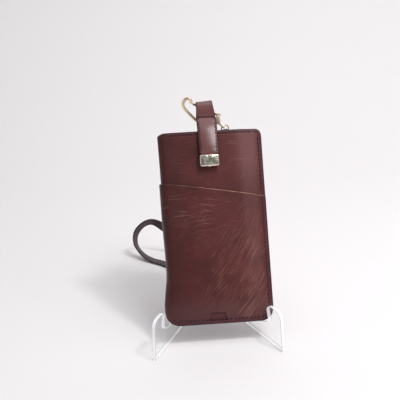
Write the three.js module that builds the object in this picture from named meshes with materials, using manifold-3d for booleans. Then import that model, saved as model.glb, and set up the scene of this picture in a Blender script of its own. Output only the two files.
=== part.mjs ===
// Leather phone bag leaning on a clear display stand, in millimetres, +Z up.
// The bag is drawn in its own plane: u runs across, v up from the bottom seam, w out of the front.
import * as THREE from 'three';
import { mergeVertices } from 'three/addons/utils/BufferGeometryUtils.js';
import Module from 'manifold-3d';

const wasm = await Module();
wasm.setup();

const { clamp, degToRad, lerp, smoothstep } = THREE.MathUtils;

// Clearance kept between neighbouring pieces
const gap = 0.3;

// Sleeve: one panel folded at the left, sewn flat at the right and along the bottom
const sleeveWidth = 100;
const sleeveHeight = 184;
const sleeveWall = 1.6;
const seamWidth = 6;
const seamHalf = 1.75;
const seamRun = 17;
const foldRadius = 5.5;
const foldDip = 2.4;
const foldDipRun = 8;
const cornerTopRight = 6;
const cornerBottomLeft = 14;
const cornerBottomRight = 12;
const crownLoss = 0.14;

// Sections of the sleeve: height above the sewn edge, place of the fold, half thickness of the belly
const sections = [
  { level: 0, foldU: -51.2, half: 1.75 },
  { level: 8, foldU: -51.0, half: 2.8 },
  { level: 20, foldU: -49.7, half: 4.8 },
  { level: 34, foldU: -48.0, half: 6.2 },
  { level: 51, foldU: -47.8, half: 6.9 },
  { level: 90, foldU: -48.9, half: 7.0 },
  { level: 130, foldU: -49.4, half: 6.5 },
  { level: 160, foldU: -49.8, half: 6.0 },
  { level: 184, foldU: -50.3, half: 5.6 },
];

// Pocket: an outer wrap with a slanted front edge and a thumb notch
const pocketWall = 1.4;
const pocketTop = 135.4;
const pocketSlope = 0.1865;
const pocketEase = 11.4;
const notch = { u: -1.5, low: 3, high: 10.9, lowHalf: 9.1, highHalf: 6.5 };

// Columns round the sleeve and rows up it
const acrossSteps = 18;
const sleeveRows = 14;
const pocketRows = 12;

// Closing tab: front leg, pinched loop and back leg of one strip
const backLegU = -2.4;
const backLegWall = 1.6;
const backLegWidth = 12;
const backLegLevels = [181, 174, 165, 154];
const tabRows = [
  { u: -2.0, w: 11.5, v: 151.1, thick: 2.4, wide: 15.0 },
  { u: -2.0, w: 11.5, v: 160.7, thick: 2.4, wide: 15.0 },
  { u: -2.0, w: 11.5, v: 161.2, thick: 2.6, wide: 17.6 },
  { u: -2.0, w: 10.8, v: 169.0, thick: 2.6, wide: 18.3 },
  { u: -2.0, w: 9.4, v: 177.0, thick: 2.6, wide: 18.9 },
  { u: -2.0, w: 7.4, v: 185.0, thick: 2.6, wide: 19.2 },
  { u: -2.1, w: 4.9, v: 191.6, thick: 2.5, wide: 19.3 },
  { u: -2.3, w: 2.4, v: 195.8, thick: 2.2, wide: 19.2 },
  { u: -2.4, w: 1.0, v: 198.2, thick: 1.6, wide: 18.8 },
  { u: -2.5, w: 2.4, v: 200.2, thick: 1.5, wide: 18.3 },
  { u: -2.7, w: 2.9, v: 204.4, thick: 1.5, wide: 17.2 },
  { u: -3.1, w: 2.7, v: 209.7, thick: 1.5, wide: 16.2 },
  { u: -3.3, w: 1.6, v: 212.4, thick: 1.5, wide: 15.7 },
  { u: -3.3, w: -0.7, v: 213.3, thick: 1.5, wide: 15.6 },
  { u: -3.3, w: -2.9, v: 212.2, thick: 1.5, wide: 15.6 },
  { u: -3.1, w: -4.0, v: 208.4, thick: 1.5, wide: 15.5 },
  { u: -2.8, w: -3.8, v: 204.0, thick: 1.5, wide: 15.2 },
  { u: -2.6, w: -2.6, v: 200.4, thick: 1.5, wide: 14.0 },
  { u: -2.4, w: -1.0, v: 198.2, thick: 1.6, wide: 12.4 },
  { u: -2.4, w: -1.3, v: 195.0, thick: 1.6, wide: 12.0 },
  { u: -2.4, w: -2.4, v: 191.6, thick: 1.6, wide: 12.0 },
  { u: -2.4, w: -4.7, v: 188.3, thick: 1.6, wide: 12.0 },
  { u: -2.4, w: -6.7, v: 185.2, thick: 1.6, wide: 12.0 },
];
// The loop's right side stands a little higher than its left
const loopFoot = 198.2;
const loopTop = 212;
const loopSkew = 0.064;

// Metal cap on the tab's end, and the closing button hidden behind it
const tip = { u: -2.0, v: 154.7, w: 11.5, wide: 18.5, high: 11.3, thick: 4.4, bevel: 0.8, floor: 1.7 };
const buttonRadius = 6;

// Snap hook: its gate runs through the tab's loop and its spine passes behind the tab
const hookHinge = { u: 10.5, v: 198.9, w: 0.2 };
const hookSlope = 27.6;
const hookTilt = 40;
const spineRadius = 1.5;
const spineRoute = [
  { x: 0.3, y: 7.0 },
  { x: 4, y: 10.0 },
  { x: 9, y: 13.1 },
  { x: 14, y: 14.8 },
  { x: 19, y: 14.8 },
  { x: 23.5, y: 13.1 },
  { x: 28.1, y: 11.0 },
  { x: 32.0, y: 9.1 },
  { x: 34.9, y: 6.8 },
  { x: 36.4, y: 3.4 },
  { x: 36.0, y: -0.9 },
  { x: 34.2, y: -3.2 },
  { x: 32.1, y: -3.5 },
  { x: 30.4, y: -2.2 },
  { x: 29.5, y: -0.4 },
];
const hookBodyThick = 4.4;
const hookBodyCircles = [
  { x: 0, y: 0, radius: 2 },
  { x: 0.5, y: 7.6, radius: 1.6 },
  { x: -3.6, y: 7.0, radius: 1.6 },
];
const neck = { x: -3.6, y: 7.0, reach: 2.4, dirX: -0.75, dirY: 0.58, dirZ: -0.32 };
const gate = { length: 27.6, radius: 1, knuckle: 1.3, slotHalf: 1.6, pin: 0.5, bore: 0.8 };
const post = { radius: 1.6, length: 1.1 };
const eye = { radius: 1.9, wire: 0.9 };
const ring = { radius: 4.1, wire: 0.6 };

// Strap: flat leather loop with both ends in a folded end piece on the ring
const strapWidth = 10.2;
const strapThick = 1.5;
const endLeather = 1.4;
const endLength = 24;
const endTopWidth = 5.5;
const endFoldOff = 1.65;
const endFoldRise = 1.5;
const strapHang = { x: 21.52, y: 45.3, z: 182.57 };
const strapHangTurn = 25.9;
const strapRoute = [
  { x: 21.91, y: 44.5, z: 170.6, faceX: -0.436, faceY: 0.9, faceZ: 0 },
  { x: 21.91, y: 44.5, z: 159.6, faceX: -0.436, faceY: 0.9, faceZ: 0 },
  { x: 21.8, y: 44.6, z: 153.5, faceX: -0.42, faceY: 0.9, faceZ: 0.05 },
  { x: 18.5, y: 48, z: 133.5, faceX: -0.3, faceY: 0.93, faceZ: 0.15 },
  { x: 13, y: 55.5, z: 105, faceX: -0.15, faceY: 0.94, faceZ: 0.3 },
  { x: 5, y: 65.5, z: 74.5, faceX: 0, faceY: 0.94, faceZ: 0.35 },
  { x: -2, y: 77, z: 46, faceX: 0, faceY: 0.9, faceZ: 0.45 },
  { x: -7, y: 88, z: 22, faceX: -0.1, faceY: 0.78, faceZ: 0.62 },
  { x: -12, y: 99, z: 7.5, faceX: -0.15, faceY: 0.45, faceZ: 0.88 },
  { x: -18, y: 111, z: 2.3, faceX: -0.05, faceY: 0.12, faceZ: 0.99 },
  { x: -27, y: 124, z: 1.5, faceX: 0, faceY: 0, faceZ: 1 },
  { x: -38, y: 137, z: 1.5, faceX: 0, faceY: 0, faceZ: 1 },
  { x: -50, y: 149, z: 1.6, faceX: 0, faceY: 0, faceZ: 1 },
  { x: -62, y: 159, z: 2.4, faceX: 0.1, faceY: 0.1, faceZ: 0.99 },
  { x: -71.4, y: 167, z: 7.2, faceX: 0.38, faceY: 0.14, faceZ: 0.91 },
  { x: -77.8, y: 173, z: 16.4, faceX: 0.76, faceY: -0.1, faceZ: 0.64 },
  { x: -77, y: 178, z: 28, faceX: 0.82, faceY: -0.42, faceZ: 0.2 },
  { x: -68.6, y: 181, z: 37.4, faceX: 0.4, faceY: -0.72, faceZ: -0.45 },
  { x: -57, y: 181, z: 40.8, faceX: -0.05, faceY: -0.85, faceZ: -0.5 },
  { x: -44, y: 178, z: 34.2, faceX: -0.1, faceY: -0.97, faceZ: -0.2 },
  { x: -31, y: 172, z: 22, faceX: -0.1, faceY: -0.9, faceZ: -0.35 },
  { x: -17, y: 163, z: 10.5, faceX: -0.3, faceY: -0.55, faceZ: -0.75 },
  { x: -5, y: 152, z: 3.4, faceX: -0.15, faceY: -0.2, faceZ: -0.95 },
  { x: 5, y: 139, z: 1.6, faceX: 0, faceY: 0, faceZ: -1 },
  { x: 13, y: 124, z: 2.4, faceX: 0, faceY: -0.12, faceZ: -0.99 },
  { x: 18, y: 111, z: 8, faceX: 0, faceY: -0.55, faceZ: -0.83 },
  { x: 21, y: 100, z: 24, faceX: 0, faceY: -0.85, faceZ: -0.5 },
  { x: 23, y: 88, z: 50, faceX: 0, faceY: -0.93, faceZ: -0.35 },
  { x: 25, y: 75, z: 80.5, faceX: 0.1, faceY: -0.94, faceZ: -0.32 },
  { x: 25.4, y: 63, z: 111, faceX: 0.25, faceY: -0.92, faceZ: -0.28 },
  { x: 23.5, y: 53, z: 135.8, faceX: 0.36, faceY: -0.9, faceZ: -0.2 },
  { x: 21.25, y: 46.8, z: 153.5, faceX: 0.43, faceY: -0.9, faceZ: -0.05 },
  { x: 21.13, y: 46.1, z: 159.6, faceX: 0.436, faceY: -0.9, faceZ: 0 },
  { x: 21.13, y: 46.1, z: 170.6, faceX: 0.436, faceY: -0.9, faceZ: 0 },
];

// Stand: one clear sheet bent into a V, with a rounded post, a seat and a back rest on each wing
const sheet = 4;
const wingAngle = 24.609;
const footSpread = 60.5;
const backRestTop = 92;
const backRestRound = 6;
const foldHeight = 42;
const postFront = { foot: 0, knee: 2.5, kneeRadius: 8.5, top: 38, tipS: 20.6, tipRadius: 6 };
const lipFoot = { s: 23.9, z: 23 };

// Where the bag sits: its bottom seam's middle, its lean, and the room its back needs
const bagLean = 24;
const bagShift = 5.2;
const bagFoot = { y: 26.2, z: 19.8 };
const seatFrontW = 3.6;
const backRestW = 10.1;
const seatGap = 0.7;

const leanSin = Math.sin(degToRad(bagLean));
const leanCos = Math.cos(degToRad(bagLean));
const wingSin = Math.sin(degToRad(wingAngle));
const wingCos = Math.cos(degToRad(wingAngle));
const foldY = footSpread / Math.tan(degToRad(wingAngle));
const middleY = (foldY + sheet / 2 - sheet / 2 * wingSin) / 2;

const leather = { color: '#5c3130', roughness: 0.42, metalness: 0 };
const darkLeather = { color: '#3c2a2d', roughness: 0.5, metalness: 0 };
const gold = { color: '#cdb27c', roughness: 0.2, metalness: 1 };
const clear = { color: '#eef2f5', roughness: 0.06, metalness: 0, transparent: true, opacity: 0.35 };

// A point of the bag's plane in the bag's own group
function bagPoint(u, v, w) {
  return new THREE.Vector3(u, -w, v);
}

// Smooth reading of one named column of a table between its rows
function lookUp(rows, key, at, column) {
  const last = rows.length - 2;
  let i = 0;
  while (i < last && at > rows[i + 1][key]) i += 1;
  const slope = (k) => {
    const low = rows[Math.max(k - 1, 0)];
    const high = rows[Math.min(k + 1, rows.length - 1)];
    return (high[column] - low[column]) / (high[key] - low[key]);
  };
  const span = rows[i + 1][key] - rows[i][key];
  const t = clamp((at - rows[i][key]) / span, 0, 1);
  const rise = (2 * t - 3) * t * t;
  const start = rows[i][column] * (1 + rise) + slope(i) * span * t * (1 - t) ** 2;
  const end = -rows[i + 1][column] * rise - slope(i + 1) * span * t * t * (1 - t);
  return start + end;
}

// Collects points and quads, and turns the faces outwards
class Skin {
  constructor() {
    this.points = [];
    this.faces = [];
  }

  row(vectors) {
    return vectors.map((p) => this.points.push(p.x, p.y, p.z) / 3 - 1);
  }

  quad(a, b, c, d) {
    if (a !== b) this.faces.push(a, b, c);
    if (c !== d) this.faces.push(a, c, d);
  }

  geometry() {
    const geometry = new THREE.BufferGeometry();
    geometry.setAttribute('position', new THREE.Float32BufferAttribute(this.points, 3));
    geometry.setIndex(this.faces);
    geometry.computeVertexNormals();
    return geometry;
  }
}

function toSolid(geometry) {
  const bare = geometry.clone();
  bare.deleteAttribute('normal');
  bare.deleteAttribute('uv');
  const merged = mergeVertices(bare, 1e-4);
  return new wasm.Manifold(new wasm.Mesh({
    numProp: 3,
    vertProperties: merged.attributes.position.array,
    triVerts: new Uint32Array(merged.index.array),
  }));
}

function toGeometry(solid) {
  const mesh = solid.getMesh();
  const geometry = new THREE.BufferGeometry();
  geometry.setAttribute('position', new THREE.Float32BufferAttribute(mesh.vertProperties, 3));
  geometry.setIndex(Array.from(mesh.triVerts));
  geometry.computeVertexNormals();
  return geometry;
}

function piece(name, geometry, finish) {
  const mesh = new THREE.Mesh(geometry, new THREE.MeshStandardMaterial(finish));
  mesh.name = name;
  return mesh;
}

// Finer at both ends of 0 to 1
function cosineSpaced(i, count) {
  return (1 - Math.cos(Math.PI * i / count)) / 2;
}

// Height that a round corner takes off an edge, at a distance in from the side
function cornerDrop(radius, distance) {
  const inside = Math.max(radius - distance, 0);
  return radius - Math.sqrt(radius ** 2 - Math.min(inside, radius) ** 2);
}

function bottomEdge(across) {
  const fromFold = across * sleeveWidth;
  const fromSeam = sleeveWidth - fromFold;
  return cornerDrop(cornerBottomLeft, fromFold) + cornerDrop(cornerBottomRight, fromSeam);
}

function topEdge(across) {
  const fromFold = across * sleeveWidth;
  const dip = foldDip * Math.max(1 - fromFold / foldDipRun, 0) ** 2;
  return sleeveHeight - dip - cornerDrop(cornerTopRight, sleeveWidth - fromFold);
}

// Half thickness of the sleeve, where grow moves its skin outwards
function halfThickness(u, level, grow) {
  const fold = lookUp(sections, 'level', level, 'foldU');
  const belly = lookUp(sections, 'level', level, 'half');
  const inward = clamp((u - fold) / sleeveWidth, 0, 1);
  const crown = 1 - crownLoss + crownLoss * Math.sin(Math.PI * inward);
  const rise = smoothstep(sleeveWidth / 2 - u, seamWidth, seamWidth + seamRun);
  const flat = Math.max(lerp(seamHalf, belly * crown, rise), seamHalf) + grow;
  const nose = Math.min(belly, foldRadius) + grow;
  const fromNose = Math.max(u - fold + grow, 0);
  return fromNose < nose ? flat * Math.sqrt(1 - (1 - fromNose / nose) ** 2) : flat;
}

// A point of the sleeve's skin; side is 1 in front and -1 behind, inset shortens it at the seam
function skinPoint(side, across, v, grow, inset) {
  const bottom = bottomEdge(across);
  const level = (v - bottom) / (topEdge(across) - bottom) * sleeveHeight;
  const fold = lookUp(sections, 'level', level, 'foldU') - grow;
  const u = lerp(fold, sleeveWidth / 2 - inset, across);
  return bagPoint(u, v, side * halfThickness(u, level, grow));
}

function bodySleeve() {
  const skin = new Skin();
  const count = 2 * acrossSteps + 1;
  const loop = (up, grow, inset) => {
    const points = [];
    for (let k = 0; k < count; k += 1) {
      const side = k <= acrossSteps ? 1 : -1;
      const step = side > 0 ? k : count - k;
      const across = cosineSpaced(step, acrossSteps);
      const v = lerp(bottomEdge(across) + inset, topEdge(across), up);
      points.push(skinPoint(side, across, v, grow, inset));
    }
    return skin.row(points);
  };
  const outer = [];
  const inner = [];
  for (let i = 0; i <= sleeveRows; i += 1) {
    outer.push(loop(cosineSpaced(i, sleeveRows), 0, 0));
    inner.push(loop(cosineSpaced(i, sleeveRows), -sleeveWall, seamWidth));
  }
  for (let k = 0; k < count; k += 1) {
    const n = (k + 1) % count;
    for (let i = 0; i < sleeveRows; i += 1) {
      skin.quad(outer[i][k], outer[i][n], outer[i + 1][n], outer[i + 1][k]);
      skin.quad(inner[i][k], inner[i + 1][k], inner[i + 1][n], inner[i][n]);
    }
    skin.quad(outer[sleeveRows][k], outer[sleeveRows][n], inner[sleeveRows][n], inner[sleeveRows][k]);
  }
  const back = (j) => (count - j) % count;
  for (let j = 0; j < acrossSteps; j += 1) {
    skin.quad(outer[0][j], outer[0][back(j)], outer[0][back(j + 1)], outer[0][j + 1]);
    skin.quad(inner[0][back(j)], inner[0][j], inner[0][j + 1], inner[0][back(j + 1)]);
  }
  return skin.geometry();
}

// Top edge of the pocket: slanted in front, level behind
function pocketEdge(side, across) {
  const run = across * sleeveWidth;
  return side > 0 ? pocketTop - pocketSlope * run ** 2 / (run + pocketEase) : pocketTop;
}

function frontPocket() {
  const skin = new Skin();
  const last = 2 * acrossSteps;
  const strip = (up, grow) => {
    const points = [];
    for (let k = 0; k <= last; k += 1) {
      const side = k < acrossSteps ? -1 : 1;
      const across = cosineSpaced(Math.abs(k - acrossSteps), acrossSteps);
      const v = lerp(bottomEdge(across), pocketEdge(side, across), up);
      points.push(skinPoint(side, across, v, grow, 0));
    }
    return skin.row(points);
  };
  const outer = [];
  const inner = [];
  for (let i = 0; i <= pocketRows; i += 1) {
    outer.push(strip(cosineSpaced(i, pocketRows), gap + pocketWall));
    inner.push(strip(cosineSpaced(i, pocketRows), gap));
  }
  for (let k = 0; k < last; k += 1) {
    for (let i = 0; i < pocketRows; i += 1) {
      skin.quad(outer[i][k], outer[i][k + 1], outer[i + 1][k + 1], outer[i + 1][k]);
      skin.quad(inner[i][k], inner[i + 1][k], inner[i + 1][k + 1], inner[i][k + 1]);
    }
    skin.quad(outer[pocketRows][k], outer[pocketRows][k + 1], inner[pocketRows][k + 1], inner[pocketRows][k]);
    skin.quad(outer[0][k], inner[0][k], inner[0][k + 1], outer[0][k + 1]);
  }
  for (let i = 0; i < pocketRows; i += 1) {
    skin.quad(outer[i][0], outer[i + 1][0], inner[i + 1][0], inner[i][0]);
    skin.quad(outer[i][last], inner[i][last], inner[i + 1][last], outer[i + 1][last]);
  }
  const outline = new THREE.Shape();
  outline.moveTo(notch.u - notch.lowHalf, notch.low);
  outline.lineTo(notch.u + notch.lowHalf, notch.low);
  outline.lineTo(notch.u + notch.highHalf, notch.high);
  outline.lineTo(notch.u - notch.highHalf, notch.high);
  const cutter = new THREE.ExtrudeGeometry(outline, { depth: sleeveWidth, bevelEnabled: false });
  cutter.rotateX(Math.PI / 2);
  return toGeometry(toSolid(skin.geometry()).subtract(toSolid(cutter)));
}

// A flat strip through stations that each have a centre, a side and a face direction
function ribbon(stations) {
  const skin = new Skin();
  const corners = stations.map(({ center, side, face, wide, thick }) => {
    const across = side.clone().multiplyScalar(wide / 2);
    const out = face.clone().multiplyScalar(thick / 2);
    return skin.row([
      center.clone().sub(across).sub(out),
      center.clone().add(across).sub(out),
      center.clone().add(across).add(out),
      center.clone().sub(across).add(out),
    ]);
  });
  for (let i = 0; i + 1 < corners.length; i += 1) {
    for (let k = 0; k < 4; k += 1) {
      const n = (k + 1) % 4;
      skin.quad(corners[i][k], corners[i][n], corners[i + 1][n], corners[i + 1][k]);
    }
  }
  const first = corners[0];
  const end = corners[corners.length - 1];
  skin.quad(first[3], first[2], first[1], first[0]);
  skin.quad(end[0], end[1], end[2], end[3]);
  return skin.geometry();
}

// Stations along a smooth line through the rows, with the other columns read between them
function stationsAlong(rows, place, faceAt, sideAt, steps) {
  const curve = new THREE.CatmullRomCurve3(rows.map(place), false, 'centripetal');
  const spans = rows.length - 1;
  const stations = [];
  for (let i = 0; i <= spans * steps; i += 1) {
    const t = i / (spans * steps);
    const row = Math.min(Math.floor(t * spans), spans - 1);
    const along = t * spans - row;
    const read = (column) => lerp(rows[row][column], rows[row + 1][column], along);
    const tangent = curve.getTangent(t);
    const face = faceAt(read, tangent);
    const side = sideAt(face, tangent);
    stations.push({ center: curve.getPoint(t), side, face, wide: read('wide'), thick: read('thick') });
  }
  return stations;
}

function closureTab() {
  const backLeg = backLegLevels.map((v) => ({
    u: backLegU,
    w: -(halfThickness(backLegU, v, gap) + backLegWall / 2),
    v,
    thick: backLegWall,
    wide: backLegWidth,
  }));
  const rows = tabRows.concat(backLeg);
  const across = new THREE.Vector3(1, 0, 0);
  const strip = ribbon(stationsAlong(
    rows,
    (row) => bagPoint(row.u, row.v, row.w),
    (read, tangent) => new THREE.Vector3().crossVectors(tangent.setX(0), across).normalize(),
    () => across,
    3,
  ));
  const spots = strip.attributes.position;
  for (let i = 0; i < spots.count; i += 1) {
    const skew = loopSkew * smoothstep(spots.getZ(i), loopFoot, loopTop);
    spots.setZ(i, spots.getZ(i) + skew * (spots.getX(i) - backLegU));
  }
  return strip;
}

function tabTip() {
  const flatHalf = tip.wide / 2 - tip.bevel;
  const flatHigh = tip.high / 2 - tip.bevel;
  const outline = new THREE.Shape();
  outline.moveTo(-flatHalf, -flatHigh);
  outline.lineTo(flatHalf, -flatHigh);
  outline.lineTo(flatHalf, flatHigh);
  outline.lineTo(-flatHalf, flatHigh);
  const cap = new THREE.ExtrudeGeometry(outline, {
    depth: tip.thick - 2 * tip.bevel,
    bevelThickness: tip.bevel,
    bevelSize: tip.bevel,
    bevelSegments: 2,
  });
  cap.translate(0, 0, tip.bevel - tip.thick / 2);
  cap.rotateX(Math.PI / 2);
  const end = tabRows[0];
  const slot = new THREE.BoxGeometry(end.wide + 2 * gap, end.thick + 2 * gap, tip.high);
  slot.translate(0, 0, tip.floor);
  const geometry = toGeometry(toSolid(cap).subtract(toSolid(slot)));
  const place = bagPoint(tip.u, tip.v, tip.w);
  return geometry.translate(place.x, place.y, place.z);
}

function snapButton() {
  const low = halfThickness(tip.u, tip.v, gap);
  const high = tip.w - tip.thick / 2 - gap;
  const disc = new THREE.CylinderGeometry(buttonRadius, buttonRadius, high - low, 28);
  const place = bagPoint(tip.u, tip.v, (low + high) / 2);
  return disc.translate(place.x, place.y, place.z);
}

function circleShape(radius, sides) {
  const shape = new THREE.Shape();
  shape.setFromPoints(new THREE.EllipseCurve(0, 0, radius, radius).getPoints(sides).slice(0, sides));
  return shape;
}

// Outline of circles with a band stretched round them
function bandShape(circles) {
  const points = circles.flatMap(({ x, y, radius }) => {
    const ringOf = new THREE.EllipseCurve(x, y, radius, radius).getPoints(20);
    return ringOf.slice(0, 20);
  });
  points.sort((a, b) => a.x - b.x || a.y - b.y);
  const half = (list) => {
    const kept = [];
    const bend = (a, b, c) => (b.x - a.x) * (c.y - a.y) - (b.y - a.y) * (c.x - a.x);
    for (const point of list) {
      while (kept.length > 1 && bend(kept[kept.length - 2], kept[kept.length - 1], point) <= 1e-6) kept.pop();
      kept.push(point);
    }
    return kept.slice(0, -1);
  };
  return new THREE.Shape(half(points).concat(half(points.slice().reverse())));
}

// Hook pieces are drawn flat: x along the gate to the nose, y towards the spine
function snapHook() {
  const body = new THREE.ExtrudeGeometry(bandShape(hookBodyCircles), {
    depth: hookBodyThick - 0.8,
    bevelThickness: 0.4,
    bevelSize: 0.4,
    bevelOffset: -0.4,
    bevelSegments: 1,
  });
  body.translate(0, 0, 0.4 - hookBodyThick / 2);
  const slotReach = gate.knuckle + gap;
  const slot = new THREE.BoxGeometry(2 * slotReach + 2, 2 * slotReach + 2, 2 * gate.slotHalf);
  slot.translate(1, -1, 0);
  const pin = new THREE.CylinderGeometry(gate.pin, gate.pin, hookBodyThick - 0.8, 10);
  pin.rotateX(Math.PI / 2);
  const route = new THREE.CatmullRomCurve3(spineRoute.map(({ x, y }) => new THREE.Vector3(x, y, 0)));
  const spine = new THREE.ExtrudeGeometry(circleShape(spineRadius, 10), { steps: 36, extrudePath: route });
  const cut = toSolid(body).subtract(toSolid(slot)).add(toSolid(pin));
  return toGeometry(cut.add(toSolid(spine)));
}

function hookGate() {
  const profile = [new THREE.Vector2(0, -gate.knuckle)];
  for (let i = 1; i <= 6; i += 1) {
    const turn = Math.PI * (i / 8 - 0.5);
    profile.push(new THREE.Vector2(gate.knuckle * Math.cos(turn), gate.knuckle * Math.sin(turn)));
  }
  profile.push(new THREE.Vector2(gate.radius, gate.knuckle));
  profile.push(new THREE.Vector2(gate.radius, gate.length - 0.3));
  profile.push(new THREE.Vector2(gate.radius - 0.3, gate.length));
  profile.push(new THREE.Vector2(0, gate.length));
  const rod = new THREE.LatheGeometry(profile, 12);
  rod.rotateZ(-Math.PI / 2);
  const bore = new THREE.CylinderGeometry(gate.bore, gate.bore, 4 * gate.knuckle, 12);
  bore.rotateX(Math.PI / 2);
  return toGeometry(toSolid(rod).subtract(toSolid(bore)));
}

function hookGroup() {
  const slope = degToRad(hookSlope);
  const tilt = degToRad(hookTilt);
  const along = new THREE.Vector3(-Math.cos(slope), 0, Math.sin(slope));
  const inHookPlane = new THREE.Vector3(-Math.sin(slope), 0, -Math.cos(slope));
  const toSpine = inHookPlane.multiplyScalar(Math.cos(tilt)).setY(Math.sin(tilt));
  const out = new THREE.Vector3().crossVectors(along, toSpine);
  const group = new THREE.Group();
  group.quaternion.setFromRotationMatrix(new THREE.Matrix4().makeBasis(along, toSpine, out));
  group.position.copy(bagPoint(hookHinge.u, hookHinge.v, hookHinge.w));
  group.add(piece('snap_hook', snapHook(), gold));
  group.add(piece('hook_gate', hookGate(), gold));
  group.updateMatrix();
  return group;
}

// Post and eye stand on the hook's neck, with the eye's hole facing along the ring's wire
function swivelEye(foot, fall, wireWay) {
  const reach = post.length + eye.wire;
  const shank = new THREE.CylinderGeometry(post.radius, post.radius, reach, 12);
  shank.translate(0, reach / 2, 0);
  const loop = new THREE.TorusGeometry(eye.radius, eye.wire, 8, 20);
  loop.translate(0, post.length + eye.radius, 0);
  const geometry = toGeometry(toSolid(shank).add(toSolid(loop)));
  const sideways = new THREE.Vector3().crossVectors(fall, wireWay);
  return geometry.applyMatrix4(new THREE.Matrix4().makeBasis(sideways, fall, wireWay).setPosition(foot));
}

// The ring hangs in line with the post, its wire through the middle of the eye
function hookRing(foot, fall, wireWay) {
  const geometry = new THREE.TorusGeometry(ring.radius, ring.wire, 8, 28);
  const normal = new THREE.Vector3().crossVectors(fall, wireWay);
  const center = foot.clone().addScaledVector(fall, post.length + eye.radius + ring.radius);
  return geometry.applyMatrix4(new THREE.Matrix4().makeBasis(fall, wireWay, normal).setPosition(center));
}

// A leather piece folded over the ring, with the strap's two ends between its legs
function strapEnd() {
  const legOff = strapThick + 1.5 * gap + endLeather / 2;
  const turn = degToRad(strapHangTurn);
  const side = new THREE.Vector3(Math.cos(turn), Math.sin(turn), 0);
  const back = new THREE.Vector3(-Math.sin(turn), Math.cos(turn), 0);
  const leg = [
    { off: legOff, z: -endLength, wide: strapWidth },
    { off: legOff, z: -endLength / 2, wide: strapWidth },
    { off: legOff - 0.2, z: -8, wide: 9.2 },
    { off: 2.2, z: -3.5, wide: 7 },
  ];
  const rows = leg.map((row) => ({ ...row, off: -row.off }));
  for (let i = 0; i <= 6; i += 1) {
    const angle = Math.PI * (1 - i / 6);
    const off = endFoldOff * Math.cos(angle);
    rows.push({ off, z: endFoldRise + endFoldOff * Math.sin(angle), wide: endTopWidth });
  }
  rows.push(...leg.reverse());
  const stations = stationsAlong(
    rows.map((row) => ({ ...row, thick: endLeather })),
    (row) => new THREE.Vector3(0, 0, row.z).addScaledVector(back, row.off),
    (read, tangent) => new THREE.Vector3().crossVectors(tangent, side).normalize(),
    () => side,
    2,
  );
  return ribbon(stations).translate(strapHang.x, strapHang.y, strapHang.z);
}

function strapLoop() {
  const rows = strapRoute.map((row) => ({ ...row, wide: strapWidth, thick: strapThick }));
  return ribbon(stationsAlong(
    rows,
    (row) => new THREE.Vector3(row.x, row.y, row.z),
    (read, tangent) => {
      const face = new THREE.Vector3(read('faceX'), read('faceY'), read('faceZ'));
      return face.addScaledVector(tangent, -face.dot(tangent)).normalize();
    },
    (face, tangent) => new THREE.Vector3().crossVectors(face, tangent).normalize(),
    3,
  ));
}

// Outline of one wing: s along the wing from its foot, z up
function wingShape() {
  const toWing = (v, w) => ({
    s: (bagFoot.y + v * leanSin - w * leanCos) / wingCos,
    z: bagFoot.z + v * leanCos + w * leanSin,
  });
  const seatFront = toWing(-seatGap, seatFrontW);
  const seatBack = toWing(-seatGap, -backRestW);
  const restTop = toWing(backRestTop, -backRestW);
  const shape = new THREE.Shape();
  shape.moveTo(postFront.foot, 0);
  shape.lineTo(postFront.knee, postFront.top - postFront.kneeRadius);
  const kneeCenter = postFront.knee + postFront.kneeRadius;
  const { top, kneeRadius, tipS, tipRadius } = postFront;
  shape.absarc(kneeCenter, top - kneeRadius, kneeRadius, Math.PI, Math.PI / 2, true);
  shape.absarc(tipS, top - tipRadius, tipRadius, Math.PI / 2, 0, true);
  shape.lineTo(lipFoot.s, lipFoot.z);
  shape.lineTo(seatFront.s, seatFront.z);
  shape.lineTo(seatBack.s, seatBack.z);
  shape.lineTo(restTop.s, restTop.z);
  const roundS = restTop.s + backRestRound;
  shape.absarc(roundS, restTop.z, backRestRound, Math.PI, Math.PI / 5, true);
  const foldS = foldY / wingCos;
  shape.quadraticCurveTo((roundS + foldS) / 2, foldHeight + backRestRound, foldS, foldHeight);
  shape.lineTo(foldS, 0);
  return shape;
}

function stand() {
  const wing = (sign) => {
    const cut = { depth: sheet, bevelEnabled: false, curveSegments: 8 };
    const plate = new THREE.ExtrudeGeometry(wingShape(), cut);
    plate.translate(0, 0, -sheet / 2);
    const along = new THREE.Vector3(-sign * wingSin, wingCos, 0);
    const up = new THREE.Vector3(0, 0, 1);
    const out = new THREE.Vector3().crossVectors(along, up);
    const foot = new THREE.Vector3(sign * footSpread, -middleY, 0);
    return toSolid(plate.applyMatrix4(new THREE.Matrix4().makeBasis(along, up, out).setPosition(foot)));
  };
  const bend = new THREE.CylinderGeometry(sheet / 2, sheet / 2, foldHeight, 20);
  bend.rotateX(Math.PI / 2);
  bend.translate(0, foldY - middleY, foldHeight / 2);
  return toGeometry(wing(-1).add(wing(1)).add(toSolid(bend)));
}

const bagGroup = new THREE.Group();
bagGroup.position.set(bagShift, bagFoot.y - middleY, bagFoot.z);
bagGroup.rotation.x = -degToRad(bagLean);
bagGroup.add(piece('body_sleeve', bodySleeve(), leather));
bagGroup.add(piece('front_pocket', frontPocket(), leather));
bagGroup.add(piece('closure_tab', closureTab(), leather));
bagGroup.add(piece('tab_tip', tabTip(), gold));
bagGroup.add(piece('snap_button', snapButton(), gold));

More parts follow.
